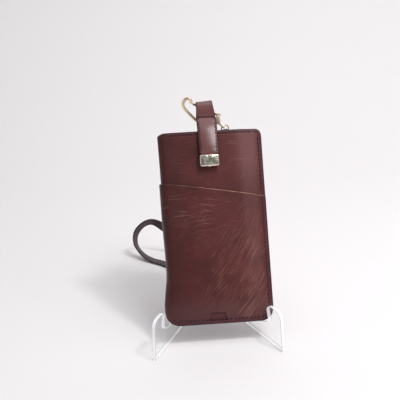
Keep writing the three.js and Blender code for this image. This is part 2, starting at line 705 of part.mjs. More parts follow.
const hook = hookGroup();
bagGroup.add(hook);
const neckWay = new THREE.Vector3(neck.dirX, neck.dirY, neck.dirZ).normalize();
const neckEnd = new THREE.Vector3(neck.x, neck.y, 0).addScaledVector(neckWay, neck.reach);
const postFoot = neckEnd.applyMatrix4(hook.matrix);
const fall = neckWay.applyQuaternion(hook.quaternion);
const wireWay = new THREE.Vector3().crossVectors(fall, new THREE.Vector3(0, 1, 0)).normalize();
bagGroup.add(piece('swivel_eye', swivelEye(postFoot, fall, wireWay), gold));
bagGroup.add(piece('hook_ring', hookRing(postFoot, fall, wireWay), gold));

const part = new THREE.Group();
part.add(bagGroup);
part.add(piece('strap_end', strapEnd(), darkLeather));
part.add(piece('strap', strapLoop(), darkLeather));
part.add(piece('stand', stand(), clear));

export default part;
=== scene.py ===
from math import cos, exp, pi, radians, sin, sqrt, tan
import bpy
from mathutils import Matrix, Quaternion, Vector


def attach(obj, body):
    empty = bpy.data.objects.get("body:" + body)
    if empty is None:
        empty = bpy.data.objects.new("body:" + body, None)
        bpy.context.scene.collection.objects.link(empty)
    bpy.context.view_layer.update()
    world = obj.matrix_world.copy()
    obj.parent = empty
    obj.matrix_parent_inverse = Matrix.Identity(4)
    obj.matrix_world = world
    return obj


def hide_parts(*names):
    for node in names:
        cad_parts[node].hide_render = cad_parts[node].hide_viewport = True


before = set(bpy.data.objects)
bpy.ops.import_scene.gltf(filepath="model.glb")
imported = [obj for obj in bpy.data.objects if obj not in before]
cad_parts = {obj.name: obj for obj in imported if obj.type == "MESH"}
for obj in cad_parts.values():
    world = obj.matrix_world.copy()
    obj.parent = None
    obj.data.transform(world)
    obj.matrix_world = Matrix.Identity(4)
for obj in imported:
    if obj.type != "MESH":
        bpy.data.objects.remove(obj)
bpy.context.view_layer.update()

scene = bpy.context.scene
scene.view_settings.view_transform = "Standard"
mm = 0.001
zAxis = Vector((0, 0, 1))


# small helpers


def freshStart():
    bpy.ops.object.select_all(action="DESELECT")


def added(operator, **settings):  # a new object, with nothing else selected
    freshStart()
    operator(**settings)
    return bpy.context.object


def only(obj):
    freshStart()
    obj.select_set(True)
    bpy.context.view_layer.objects.active = obj


def modify(obj, kind, **settings):
    only(obj)
    mod = obj.modifiers.new(kind.lower(), kind)
    for key, value in settings.items():
        setattr(mod, key, value)
    bpy.ops.object.modifier_apply(modifier=mod.name)


def soften(obj, width, segments=2, angle=50):  # bevels the edges sharper than the angle
    modify(obj, "BEVEL", width=width, segments=segments, limit_method="ANGLE", angle_limit=radians(angle))


def cutAway(obj, tool):
    modify(obj, "BOOLEAN", object=tool, operation="DIFFERENCE", solver="EXACT")
    bpy.data.objects.remove(tool)


def editMesh(obj, steps):
    only(obj)
    bpy.ops.object.mode_set(mode="EDIT")
    steps()
    bpy.ops.object.mode_set(mode="OBJECT")


def bisectAt(place, way):  # in edit mode, through the whole mesh
    bpy.ops.mesh.select_all(action="SELECT")
    bpy.ops.mesh.bisect(plane_co=place, plane_no=way)


def moveVerts(obj, rule):
    for vert in obj.data.vertices:
        vert.co = rule(vert.co.copy())
    obj.data.update()


def joinAll(objs):
    freshStart()
    for obj in objs:
        obj.select_set(True)
    bpy.context.view_layer.objects.active = objs[0]
    bpy.ops.object.join()
    return bpy.context.object


def settle(obj):  # object back at the origin, its place in the mesh
    only(obj)
    bpy.ops.object.transform_apply(location=True, rotation=True, scale=True)


def finishPiece(obj, name, material, body, nodes=(), angle=35):
    settle(obj)
    obj.name = name
    obj.data.name = name
    obj.data.materials.clear()
    for one in material if isinstance(material, list) else [material]:
        obj.data.materials.append(one)
    bpy.ops.object.shade_smooth_by_angle(angle=radians(angle))
    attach(obj, body)
    if nodes:
        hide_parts(*nodes)


def lerp(a, b, t):
    return a + (b - a) * t


def clamp(x, low=0.0, high=1.0):
    return max(low, min(high, x))


def smoothStep(x, low, high):
    t = clamp((x - low) / (high - low))
    return t * t * (3 - 2 * t)


def sideOf(x):
    return 1 if x >= 0 else -1


def readTable(rows, at):  # smooth reading between rows, the first column is the key
    i = 0
    while i < len(rows) - 2 and at > rows[i + 1][0]:
        i += 1
    span = rows[i + 1][0] - rows[i][0]
    t = clamp((at - rows[i][0]) / span)
    out = []
    for c in range(1, len(rows[0])):
        def slope(k):
            low, high = rows[max(k - 1, 0)], rows[min(k + 1, len(rows) - 1)]
            return (high[c] - low[c]) / (high[0] - low[0])
        rise = (3 - 2 * t) * t * t
        bow = slope(i) * span * t * (1 - t) ** 2 - slope(i + 1) * span * t * t * (1 - t)
        out.append(lerp(rows[i][c], rows[i + 1][c], rise) + bow)
    return out


def byDistance(rows, places=3):  # puts the distance along the line in front of each row
    out, far = [], 0.0
    for k, row in enumerate(rows):
        if k:
            far += (Vector(row[:places]) - Vector(rows[k - 1][:places])).length
        out.append((far, *row))
    return out


def slopeAt(rows, far, step=0.2):  # how each column changes along a line
    ends = [readTable(rows, clamp(far + by, 0, rows[-1][0])) for by in (-step, step)]
    return [high - low for low, high in zip(*ends)]


def lineFrame(rows, far, step):  # place, way along and face, where the columns are the place and the face
    values = readTable(rows, clamp(far, 0, rows[-1][0]))
    way = Vector(slopeAt(rows, far, step)[:3]).normalized()
    face = Vector(values[3:6])
    return Vector(values[:3]), way, (face - way * face.dot(way)).normalized()


def basis(x, y, z, place):
    return Matrix.Translation(place) @ Matrix((x, y, z)).transposed().to_4x4()


# camera

cameraSet = {
    "eye": (-46.1, -724.4, 394.8),
    "target": (-11.64, -66.63, 155.05),
    "roll": -2.5,
    "lens": 73.2,
    "sensor": 36,
}
eye = Vector(cameraSet["eye"]) * mm
camera = added(bpy.ops.object.camera_add, location=eye)
aim = (Vector(cameraSet["target"]) * mm - eye).to_track_quat("-Z", "Y")
camera.rotation_euler = (aim @ Quaternion(zAxis, radians(cameraSet["roll"]))).to_euler()
camera.data.lens = cameraSet["lens"]
camera.data.sensor_width = cameraSet["sensor"]
scene.camera = camera
print("camera set")


# materials


def sumOf(operation, flipped=False):  # an operator that makes a Math node
    def run(self, other=0.0):
        a, b = (other, self) if flipped else (self, other)
        return self.graph.node("ShaderNodeMath", {"operation": operation}, {0: a, 1: b})
    return run


class Wire:  # one socket, with sums written as sums
    def __init__(self, graph, socket):
        self.graph = graph
        self.socket = socket

    __add__, __radd__ = sumOf("ADD"), sumOf("ADD", True)
    __sub__, __rsub__ = sumOf("SUBTRACT"), sumOf("SUBTRACT", True)
    __mul__, __rmul__ = sumOf("MULTIPLY"), sumOf("MULTIPLY", True)
    __abs__ = sumOf("ABSOLUTE")
    largest = sumOf("MAXIMUM")


class Finish:  # a material and its nodes
    def __init__(self, name):
        self.material = bpy.data.materials.new(name)
        self.material.use_nodes = True
        self.tree = self.material.node_tree
        self.shader = self.tree.nodes["Principled BSDF"]

    def node(self, kind, setup=None, feeds=None, pick=0):
        made = self.tree.nodes.new(kind)
        for key, value in (setup or {}).items():
            setattr(made, key, value)
        for key, value in (feeds or {}).items():
            self.plug(made.inputs[key], value)
        return Wire(self, made.outputs[pick])

    def plug(self, socket, value):
        if isinstance(value, Wire):
            self.tree.links.new(value.socket, socket)
        else:
            socket.default_value = value

    def set(self, **values):  # shader sockets by name, words joined by _
        for key, value in values.items():
            self.plug(self.shader.inputs[key.replace("_", " ")], value)

    def spot(self):  # object coordinates
        return self.node("ShaderNodeTexCoord", None, None, 3)

    def flat(self):  # the map laid out flat, 1 unit for 100 mm
        return self.node("ShaderNodeUVMap", {"uv_map": "flat"})

    def mix(self, a, b, share):
        return self.node("ShaderNodeMix", {"data_type": "RGBA"}, {0: share, 6: a, 7: b}, 2)

    def band(self, x, low, high):  # 0 to 1 as x goes from low to high
        return self.node("ShaderNodeMapRange", {"interpolation_type": "SMOOTHSTEP"},
                         {0: x, 1: low, 2: high, 3: 0.0, 4: 1.0})

    def noise(self, where, scale, detail=2.0, rough=0.5, warp=0.0):
        return self.node("ShaderNodeTexNoise", None, {"Vector": where, "Scale": scale, "Detail": detail,
                                                      "Roughness": rough, "Distortion": warp})

    def turned(self, where, angle, along, across, seed=0.0):  # one repeat is 1/along by 1/across
        return self.node("ShaderNodeMapping", {"vector_type": "TEXTURE"},
                         {"Vector": where, "Location": (seed, seed * 0.7, 0), "Rotation": (0, 0, radians(angle)),
                          "Scale": (1 / along, 1 / across, 1)})

    def number(self, name):  # a number kept on the mesh
        return self.node("ShaderNodeAttribute", {"attribute_name": name}, None, 2)

    def bump(self, height, strength, distance):
        return self.node("ShaderNodeBump", None, {"Height": height, "Strength": strength, "Distance": distance})


def rgb(r, g, b):  # colour as seen, 0 to 255, to linear
    def one(c):
        c /= 255
        return c / 12.92 if c <= 0.04045 else ((c + 0.055) / 1.055) ** 2.4
    return (one(r), one(g), one(b), 1)


leatherLook = {
    "wine": rgb(84, 33, 32),
    "deep": rgb(66, 24, 24),
    # paler tone: random patches, painted sheen towards the sewn side, and part of the tab's paler tone
    "fadedAndSheen": rgb(112, 56, 52),
    "scratch": rgb(176, 122, 106),
    "edge": rgb(46, 16, 24),
    "sewn": rgb(72, 30, 42),
    # painted shade: darker towards the fold
    "foldShade": rgb(56, 17, 17),
    "rawCut": rgb(172, 122, 104),
    "lining": rgb(92, 62, 54),
    # painted reflection: greyer and paler near the bottom edge, standing in for the floor's reflection
    "foot": rgb(84, 50, 54),
    # mauve: painted sheen high on the sewn side, and part of the tab's paler tone
    "mauveAndSheen": rgb(132, 92, 96),
    "sewnAt": 3.8,  # mm from the edge
}
sleeveMarks = [  # angle, repeats per 100 mm along and across, how rare, seed, window: left, right, low, high
    (4, 4, 110, 0.64, 1.7, (0.02, 1.0, 1.3, 1.95)),
    (-14, 5, 120, 0.66, 4.1, (0.45, 1.1, 1.3, 1.75)),
    (50, 5, 120, 0.66, 7.7, (0.6, 1.1, 1.2, 1.6)),
    (90, 2, 60, 0.66, 2.2, (-1.1, 0.0, -0.1, 2.0)),
    (12, 4, 90, 0.64, 8.5, (-1.1, 0.0, -0.1, 2.0)),
]
pocketMarks = [
    (5, 3.4, 120, 0.6, 2.3, (-0.1, 0.62, 0.8, 1.36)),
    (-9, 5, 140, 0.61, 5.9, (0.0, 0.8, 0.75, 1.35)),
    (38, 6, 140, 0.63, 4.7, (0.05, 0.9, 0.6, 1.3)),
    (58, 2.2, 140, 0.56, 3.1, (0.5, 1.12, -0.1, 1.0)),
    (66, 2.8, 170, 0.56, 6.6, (0.6, 1.12, 0.0, 1.1)),
    (51, 3.2, 160, 0.57, 8.8, (0.3, 1.1, 0.0, 0.95)),
    (74, 3.2, 150, 0.6, 7.3, (0.25, 0.9, 0.0, 0.6)),
    (-12, 3, 140, 0.66, 9.6, (0.0, 0.7, 0.1, 0.5)),
    (82, 3, 80, 0.63, 1.9, (-1.1, 0.0, -0.1, 1.4)),
]
# painted shade: dark strokes drawn along the creases
pocketCreaseShade = [
    (61, 2.4, 130, 0.57, 11.3, (0.3, 1.1, 0.0, 1.05)),
    (47, 3.6, 150, 0.58, 13.9, (0.1, 1.0, 0.3, 1.1)),
    (8, 3.0, 120, 0.6, 12.7, (0.0, 0.9, 0.7, 1.35)),
]
tabMarks = [
    (-50, 5, 90, 0.64, 3.4, (-0.2, 0.2, 0.0, 0.3)),
    (30, 7, 120, 0.68, 6.4, (-0.2, 0.2, 0.2, 0.9)),
]


def leatherFinish(name, marks, rough, dents=(), rawTop=False, lined=False, coat=0.08, crease=0.2, sided=True):
    look = leatherLook
    f = Finish(name)
    flat = f.flat()  # the scratches follow the hide
    x = f.node("ShaderNodeSeparateXYZ", None, {0: flat}, 0)
    y = f.node("ShaderNodeSeparateXYZ", None, {0: flat}, 1)
    rim, seam = f.number("rim"), f.number("seam")
    cloud = f.noise(flat, 3.0, 4, 0.55, 0.4)
    patch = f.noise(flat, 11.0, 3, 0.6, 0.3)
    grain = f.noise(flat, 210.0, 2, 0.6)
    pores = f.node("ShaderNodeTexVoronoi", {"feature": "DISTANCE_TO_EDGE"}, {"Vector": flat, "Scale": 115.0})
    swirl = f.node("ShaderNodeTexNoise", None, {"Vector": flat, "Scale": 2.6, "Detail": 1.0}, 1)
    bent = f.node("ShaderNodeVectorMath", {"operation": "MULTIPLY_ADD"}, {0: swirl, 1: (0.07, 0.07, 0), 2: flat})
    few = f.band(f.noise(f.turned(bent, 25, 6, 130, 0.4), 1.0, 1, 0.5, 0.2), 0.7, 0.78) * 0.5

    def strokes(rows, made):
        for angle, along, across, rare, seed, (left, right, low, high) in rows:
            line = f.noise(f.turned(bent, angle, along, across, seed), 1.0, 1.5, 0.45, 0.25)
            window = f.band(x, left, left + 0.18) * (1 - f.band(x, right - 0.18, right))
            window = window * f.band(y, low, low + 0.2) * (1 - f.band(y, high - 0.2, high))
            window = window * f.band(f.noise(flat, 3.5 + seed / 3, 2, 0.5), 0.36, 0.56)
            made = made.largest(f.band(line, rare, rare + 0.09) * window)
        return made

    scratches = strokes(marks, few)
    groove = 1 - f.band(abs(seam - look["sewnAt"]), 0.3, 1.0)
    layers = [("fadedAndSheen", f.band(patch, 0.5, 0.8) * 0.3)]  # each over those before it
    if sided:
        # painted shade: the hide is made darker towards the fold, where it turns away from the light
        # painted sheen: the hide is made paler towards the sewn side
        layers += [("fadedAndSheen", f.band(abs(x), 0.4, 1.0) * 0.22), ("foldShade", (1 - f.band(abs(x), 0.0, 0.36)) * 0.75),
                   # painted reflection: greyer and paler towards the bottom edge, for the floor seen in the hide
                   ("foot", (1 - f.band(y, 0.06, 0.34)) * 0.55)]
    else:
        # the tab is paler and more mauve all over: partly its own tone, partly painted sheen for its gloss
        layers += [("fadedAndSheen", 0.4), ("mauveAndSheen", 0.16)]
    if lined:  # painted sheen: a paler mauve band high on the sewn side
        mauveAndSheen = f.band(x, 0.68, 0.84) * (1 - f.band(x, 0.92, 1.0)) * f.band(y, 1.2, 1.6)
        layers.append(("mauveAndSheen", mauveAndSheen * (0.14 + 0.24 * cloud)))
    # painted shade: darker strokes along the creases
    if dents:
        layers.append(("edge", strokes(dents, few * 0.2) * 0.5))
    layers += [("scratch", scratches * 0.27), ("sewn", (1 - f.band(seam, 2.8, 4.2)) * 0.55),
               ("edge", (1 - f.band(rim, 0.45, 1.3)) * 0.85)]
    if rawTop:
        # painted shade dims the raw cut towards the fold; random patches dim it as wear
        wornAndFoldShade = (0.2 + 0.8 * f.band(x, 0.1, 0.55)) * (0.45 + 0.55 * f.band(patch, 0.4, 0.6))
        layers.append(("rawCut", (1 - f.band(f.number("top"), 0.25, 0.75)) * wornAndFoldShade))
    tone = f.mix(look["deep"], look["wine"], 0.3 + 0.7 * f.band(cloud, 0.3, 0.6))
    for key, share in layers:
        tone = f.mix(tone, look[key], share)
    shine = rough + cloud * 0.1 + scratches * 0.1
    if lined:
        inside = f.number("inside")
        tone = f.mix(tone, f.mix(look["lining"], look["deep"], grain * 0.6), inside)
        shine = shine + inside * 0.4
    fine = 1.0 if sided else 0.3
    height = (pores * 0.3 + grain * 0.5) * fine - scratches * 0.7 + patch * (1.7 - fine) - groove * 1.6
    f.set(Base_Color=tone, Roughness=shine, Normal=f.bump(height, crease, 0.0004))
    polish = coat if sided else coat * f.band(rim, 0.9, 2.6)  # the tab is waxed, but not on its edges
    f.set(Specular_IOR_Level=0.4, Coat_Weight=polish, Coat_Roughness=0.3 if sided else 0.2)
    return f.material


sleeveLeather = leatherFinish("sleeveLeather", sleeveMarks, 0.36, lined=True)
pocketLeather = leatherFinish("pocketLeather", pocketMarks, 0.38, pocketCreaseShade, rawTop=True)
tabLeather = leatherFinish("tabLeather", tabMarks, 0.3, coat=1.0, crease=0.3, sided=False)


def strapFinish():
    f = Finish("strapLeather")
    flat = f.flat()
    cloud = f.noise(flat, 6.0, 3, 0.55)
    grain = f.noise(flat, 180.0, 2, 0.6)
    tone = f.mix(rgb(50, 30, 34), rgb(70, 46, 50), f.band(cloud, 0.35, 0.65))
    tone = f.mix(tone, rgb(34, 20, 25), (1 - f.band(f.number("rim"), 0.3, 1.2)) * 0.8)
    f.set(Base_Color=tone, Roughness=0.38 + cloud * 0.14, Normal=f.bump(grain, 0.2, 0.0003))
    return f.material


def goldFinish(name, tint, rough, wavy=0.0, metal=1.0):
    f = Finish(name)
    spot = f.spot()
    wear = f.noise(spot, 420.0, 3, 0.6)
    fine = f.noise(f.turned(spot, 20, 300, 2600), 1.0, 2, 0.5)
    tone = f.mix(tint, rgb(240, 226, 196), f.band(wear, 0.45, 0.7) * 0.35)
    if wavy:
        mottle = f.band(f.noise(spot, 330.0, 2, 0.5, 0.8), 0.42, 0.58)
        tone = f.mix(tone, rgb(176, 166, 142), mottle * 0.8)
    wave = f.noise(spot, 210.0, 2, 0.5, 0.6)
    f.set(Base_Color=tone, Metallic=metal, Roughness=rough + fine * 0.08)
    f.set(Normal=f.bump(fine * 0.05 + wave * wavy, 0.5, 0.001))
    return f.material


def threadFinish(name, dark, light, rough):
    f = Finish(name)
    spot = f.spot()
    twist = f.noise(spot, 2200.0, 2, 0.5)
    f.set(Base_Color=f.mix(dark, light, twist), Roughness=rough)
    return f.material


def clearFinish():  # faces let the light through; the cut edges glow, a painted highlight, and the corners are greyed, a painted shade
    f = Finish("clearPlastic")
    edge = f.number("edge")  # 0 on the sheet, 0.5 on its corners, 1 on the cut
    haze = f.noise(f.spot(), 60.0, 3, 0.5)
    cut = f.band(edge, 0.6, 0.9)
    corner = 1 - f.band(abs(edge - 0.5), 0.1, 0.4)
    # painted shade: the bevelled corners are greyed, standing in for their dark refraction
    tone = f.mix(rgb(250, 251, 252), rgb(150, 156, 160), corner * 0.8)
    f.set(Base_Color=tone, Roughness=0.06 + haze * 0.06, IOR=1.49)
    f.set(Alpha=0.035 + cut * 0.6 + corner * 0.5 + haze * 0.03)
    # painted highlight: the cut edges glow
    f.set(Emission_Color=f.mix(rgb(0, 0, 0), rgb(255, 255, 255), cut), Emission_Strength=0.16)
    return f.material


strapLeather = strapFinish()
paleGold = goldFinish("paleGold", rgb(230, 210, 172), 0.24)
# painted highlight: a pale, barely metallic copy of the gold, so the barrel and the eye look blown out bright
paintedHighlightGold = goldFinish("paintedHighlightGold", rgb(255, 238, 218), 0.3, 0.0, 0.12)
# painted reflection: a darker copy of the gold, standing in for the dark leather seen in the gate
paintedReflectionGold = goldFinish("paintedReflectionGold", rgb(128, 98, 60), 0.26)
tipGold = goldFinish("tipGold", rgb(252, 246, 232), 0.16, 0.7)
threadRed = threadFinish("threadRed", rgb(26, 5, 12), rgb(52, 14, 26), 0.6)
threadWaxed = threadFinish("threadWaxed", rgb(16, 3, 8), rgb(40, 10, 18), 0.34)  # polished by the hand
clearPlastic = clearFinish()
print("materials made")


# strips: modelled flat at their size, then wrapped on their line


def flatMap(obj, perUnit=0.1):  # lays the map out flat, 1 unit for 100 mm
    layer = obj.data.uv_layers.active or obj.data.uv_layers.new()
    layer.name = "flat"
    for loop in obj.data.loops:
        co = obj.data.vertices[loop.vertex_index].co
        layer.data[loop.index].uv = (co.x / perUnit, co.y / perUnit)


def keepNumber(obj, name, rule):  # a number for each point, read by the materials
    attr = obj.data.attributes.new(name, "FLOAT", "POINT")
    for vert in obj.data.vertices:
        attr.data[vert.index].value = rule(vert.co)


def flatStrip(length, across, along, wideAt, thickAt, bevel):
    obj = added(bpy.ops.mesh.primitive_grid_add, x_subdivisions=across, y_subdivisions=along, size=1)
    modify(obj, "SOLIDIFY", thickness=1, offset=0)

    def size(co):
        far = (co.y + 0.5) * length
        return Vector((co.x * wideAt(far), far, co.z * thickAt(far)))

    moveVerts(obj, size)
    soften(obj, bevel)
    flatMap(obj)
    keepNumber(obj, "rim", lambda co: 1000 * min(wideAt(co.y) / 2 - abs(co.x), co.y, length - co.y))
    keepNumber(obj, "seam", lambda co: 99.0)  # no seam near
    return obj


# strap, first of all because it spreads furthest

strapSet = {"width": 0.0102, "thick": 0.0015, "bevel": 0.0004, "across": 8, "along": 220, "step": 0.0004,
            "pathSteps": 240}
strapRoute = [  # x, y, z and the way the grain side faces
    (0.02191, 0.0445, 0.1706, -0.436, 0.9, 0),
    (0.02191, 0.0445, 0.1596, -0.436, 0.9, 0),
    (0.0218, 0.0446, 0.1535, -0.42, 0.9, 0.05),
    (0.0185, 0.048, 0.1335, -0.3, 0.93, 0.15),
    (0.013, 0.0555, 0.105, -0.15, 0.94, 0.3),
    (0.005, 0.0655, 0.0745, 0, 0.94, 0.35),
    (-0.002, 0.077, 0.046, 0, 0.9, 0.45),
    (-0.007, 0.088, 0.022, -0.1, 0.78, 0.62),
    (-0.012, 0.099, 0.0075, -0.15, 0.45, 0.88),
    (-0.018, 0.111, 0.0023, -0.05, 0.12, 0.99),
    (-0.027, 0.124, 0.0015, 0, 0, 1),
    (-0.038, 0.137, 0.0015, 0, 0, 1),
    (-0.05, 0.149, 0.0016, 0, 0, 1),
    (-0.062, 0.159, 0.0024, 0.1, 0.1, 0.99),
    (-0.0714, 0.167, 0.0072, 0.38, 0.14, 0.91),
    (-0.0778, 0.173, 0.0164, 0.76, -0.1, 0.64),
    (-0.077, 0.178, 0.028, 0.82, -0.42, 0.2),
    (-0.0686, 0.181, 0.0374, 0.4, -0.72, -0.45),
    (-0.057, 0.181, 0.0408, -0.05, -0.85, -0.5),
    (-0.044, 0.178, 0.0342, -0.1, -0.97, -0.2),
    (-0.031, 0.172, 0.022, -0.1, -0.9, -0.35),
    (-0.017, 0.163, 0.0105, -0.3, -0.55, -0.75),
    (-0.005, 0.152, 0.0034, -0.15, -0.2, -0.95),
    (0.005, 0.139, 0.0016, 0, 0, -1),
    (0.013, 0.124, 0.0024, 0, -0.12, -0.99),
    (0.018, 0.111, 0.008, 0, -0.55, -0.83),
    (0.021, 0.1, 0.024, 0, -0.85, -0.5),
    (0.023, 0.088, 0.05, 0, -0.93, -0.35),
    (0.025, 0.075, 0.0805, 0.1, -0.94, -0.32),
    (0.0254, 0.063, 0.111, 0.25, -0.92, -0.28),
    (0.0235, 0.053, 0.1358, 0.36, -0.9, -0.2),
    (0.02125, 0.0468, 0.1535, 0.43, -0.9, -0.05),
    (0.02113, 0.0461, 0.1596, 0.436, -0.9, 0),
    (0.02113, 0.0461, 0.1706, 0.436, -0.9, 0),
]


def makeStrap(s):
    rows = byDistance(strapRoute)
    length = rows[-1][0]
    obj = flatStrip(length, s["across"], s["along"], lambda far: s["width"], lambda far: s["thick"], s["bevel"])

    def bend(co):
        center, way, face = lineFrame(rows, co.y, s["step"])
        return center + face.cross(way).normalized() * co.x + face * co.z

    moveVerts(obj, bend)
    finishPiece(obj, "strapLoop", strapLeather, "bag", ["strap"])
    path = [Vector(readTable(rows, length * k / s["pathSteps"])[:3]) for k in range(s["pathSteps"] + 1)]


makeStrap(strapSet)


# the bag's own plane: u across, v up from the bottom seam, w out of the front, in mm

bagSet = {"lean": 24, "shift": 5.2, "footY": -40.427, "footZ": 19.8}
bagFrame = (Matrix.Translation(Vector((bagSet["shift"], bagSet["footY"], bagSet["footZ"])) * mm)
            @ Matrix.Rotation(-radians(bagSet["lean"]), 4, "X") @ Matrix.Scale(mm, 4))


def bagPoint(u, v, w):
    return bagFrame @ Vector((u, -w, v))


sleeveSet = {
    "width": 100, "height": 184, "wall": 1.6, "seam": 6, "seamHalf": 1.75, "seamRun": 17,
    "foldRadius": 5.5, "foldDip": 2.4, "foldDipRun": 8, "crownLoss": 0.14,
    "topRight": 6, "bottomLeft": 14, "bottomRight": 12, "bevel": 0.45,
    "columns": 92, "rows": 66, "evenAcross": 0.55, "evenUp": 0.7,
    "dentSide": (4, 20), "dentFoot": (6, 30),  # the hollows fade in from the fold and the foot
}
sleeveSections = [  # height above the sewn edge, place of the fold, half thickness
    (0, -51.2, 1.75), (8, -51.0, 2.8), (20, -49.7, 4.8), (34, -48.0, 6.2), (51, -47.8, 6.9),
    (90, -48.9, 7.0), (130, -49.4, 6.5), (160, -49.8, 6.0), (184, -50.3, 5.6),
]


bagWide = sleeveSet["width"]


def cornerDrop(radius, distance):
    inside = clamp(radius - distance, 0, radius)
    return radius - sqrt(radius * radius - inside * inside)


def acrossAt(flatX):
    return clamp(abs(flatX) / bagWide)


def bottomEdge(across):
    far = across * bagWide
    return cornerDrop(sleeveSet["bottomLeft"], far) + cornerDrop(sleeveSet["bottomRight"], bagWide - far)


def topEdge(side, across):
    far = across * bagWide
    dip = sleeveSet["foldDip"] * max(1 - far / sleeveSet["foldDipRun"], 0) ** 2
    return sleeveSet["height"] - dip - cornerDrop(sleeveSet["topRight"], bagWide - far)


frontPulls = [  # u, v, half width, half height, depth
    (-26, 158, 22, 14, -0.5), (24, 160, 16, 20, 0.35), (-20, 70, 24, 34, 0.3),
    (22, 52, 20, 26, -0.35), (-30, 110, 14, 20, -0.25), (30, 100, 12, 24, 0.25),
]
backWave = {"high": 0.25, "u": 17, "v": 29}


def dents(u, v, side):  # soft hollows where the hide has been handled
    if side < 0:
        return backWave["high"] * sin(u / backWave["u"]) * sin(v / backWave["v"])
    return sum(deep * exp(-((u - cu) / ru) ** 2 - ((v - cv) / rv) ** 2) for cu, cv, ru, rv, deep in frontPulls)


def skinPoint(side, across, v, grow):
    s = sleeveSet
    bottom = bottomEdge(across)
    level = (v - bottom) / (topEdge(side, across) - bottom) * s["height"]
    fold, belly = readTable(sleeveSections, level)
    u = lerp(fold - grow, s["width"] / 2, across)
    inward = clamp((u - fold) / s["width"])
    crown = 1 - s["crownLoss"] + s["crownLoss"] * sin(pi * inward)
    rise = smoothStep(s["width"] / 2 - u, s["seam"], s["seam"] + s["seamRun"])
    ease = rise * smoothStep(across * s["width"], *s["dentSide"]) * smoothStep(level, *s["dentFoot"])
    full = max(lerp(s["seamHalf"], belly * crown, rise), s["seamHalf"]) + dents(u, v, side) * ease + grow
    nose = min(belly, s["foldRadius"]) + grow
    past = max(u - fold + grow, 0)
    if past < nose:
        full *= sqrt(1 - (1 - past / nose) ** 2)
    return bagPoint(u, v, side * full)


def panelPoint(flatX, v, grow):  # flatX runs from the back seam, over the fold, to the front seam
    return skinPoint(sideOf(flatX), acrossAt(flatX), v, grow)


def flatPanel(p, highAt):
    obj = added(bpy.ops.mesh.primitive_grid_add, x_subdivisions=p["columns"], y_subdivisions=p["rows"], size=1)

    def closer(t, even):  # rows stand closer near both ends
        return even * t + (1 - even) * (1 - cos(pi * t)) / 2

    def cut(co):
        across = closer(abs(co.x) * 2, sleeveSet["evenAcross"])
        up = closer(co.y + 0.5, sleeveSet["evenUp"])
        side = sideOf(co.x)
        flatX = side * across * bagWide
        return Vector((flatX, lerp(bottomEdge(across), highAt(side, across), up), 0))

    moveVerts(obj, cut)
    modify(obj, "SOLIDIFY", thickness=p["wall"], offset=0)
    return obj


def finishPanel(obj, p, highAt, growAt, name, material, node, rimSewn):
    soften(obj, p["bevel"])
    flatMap(obj, 100)

    def edges(co):  # distance to the top, the foot and the sewn side
        across = acrossAt(co.x)
        return highAt(sideOf(co.x), across) - co.y, co.y - bottomEdge(across), bagWide - abs(co.x)

    keepNumber(obj, "rim", lambda co: min(edges(co)))
    keepNumber(obj, "top", lambda co: edges(co)[0] if co.x > 0 else 9.0)
    keepNumber(obj, "seam", lambda co: min(edges(co)[0 if rimSewn else 1:]))
    keepNumber(obj, "inside", lambda co: 1.0 if co.z < 0 and edges(co)[0] > 0.3 else 0.0)
    moveVerts(obj, lambda co: panelPoint(co.x, co.y, growAt(co)))
    finishPiece(obj, name, material, "bag", [node], 40)


def makeSleeve(s):
    obj = flatPanel(s, topEdge)
    finishPanel(obj, s, topEdge, lambda co: co.z - s["wall"] / 2, "sleeve", sleeveLeather, "body_sleeve", True)
    print("sleeve made")


pocketSet = {
    "wall": 1.4, "gap": 0.3, "top": 135.4, "slope": 0.1865, "ease": 11.4, "stand": 0.5, "standRun": 9, "bevel": 0.4,
    "notchU": -1.5, "notchLow": 3, "notchHigh": 10.9, "notchLowHalf": 9.1, "notchHighHalf": 6.5, "notchDeep": 9,
    "columns": 92, "rows": 54,
}


def pocketEdge(side, across):
    run = across * bagWide
    return pocketSet["top"] - (pocketSet["slope"] * run * run / (run + pocketSet["ease"]) if side > 0 else 0)


def makePocket(p):
    obj = flatPanel(p, pocketEdge)
    cutter = added(bpy.ops.mesh.primitive_cube_add, size=1)

    def wedge(co):
        half, high = ((p["notchLowHalf"], p["notchLow"]) if co.y < 0
                      else (p["notchHighHalf"], p["notchHigh"]))
        return Vector((p["notchU"] + bagWide / 2 + 2 * co.x * half, high, co.z * p["notchDeep"]))

    moveVerts(cutter, wedge)
    cutAway(obj, cutter)

    def grow(co):  # the mouth stands off a little
        across = acrossAt(co.x)
        below = pocketEdge(sideOf(co.x), across) - co.y
        gape = p["stand"] * exp(-max(below, 0) / p["standRun"]) * sin(pi * across)
        return p["gap"] + p["wall"] / 2 + co.z + gape

    finishPanel(obj, p, pocketEdge, grow, "pocket", pocketLeather, "front_pocket", False)
    print("pocket made")


makeSleeve(sleeveSet)
makePocket(pocketSet)


# closing tab

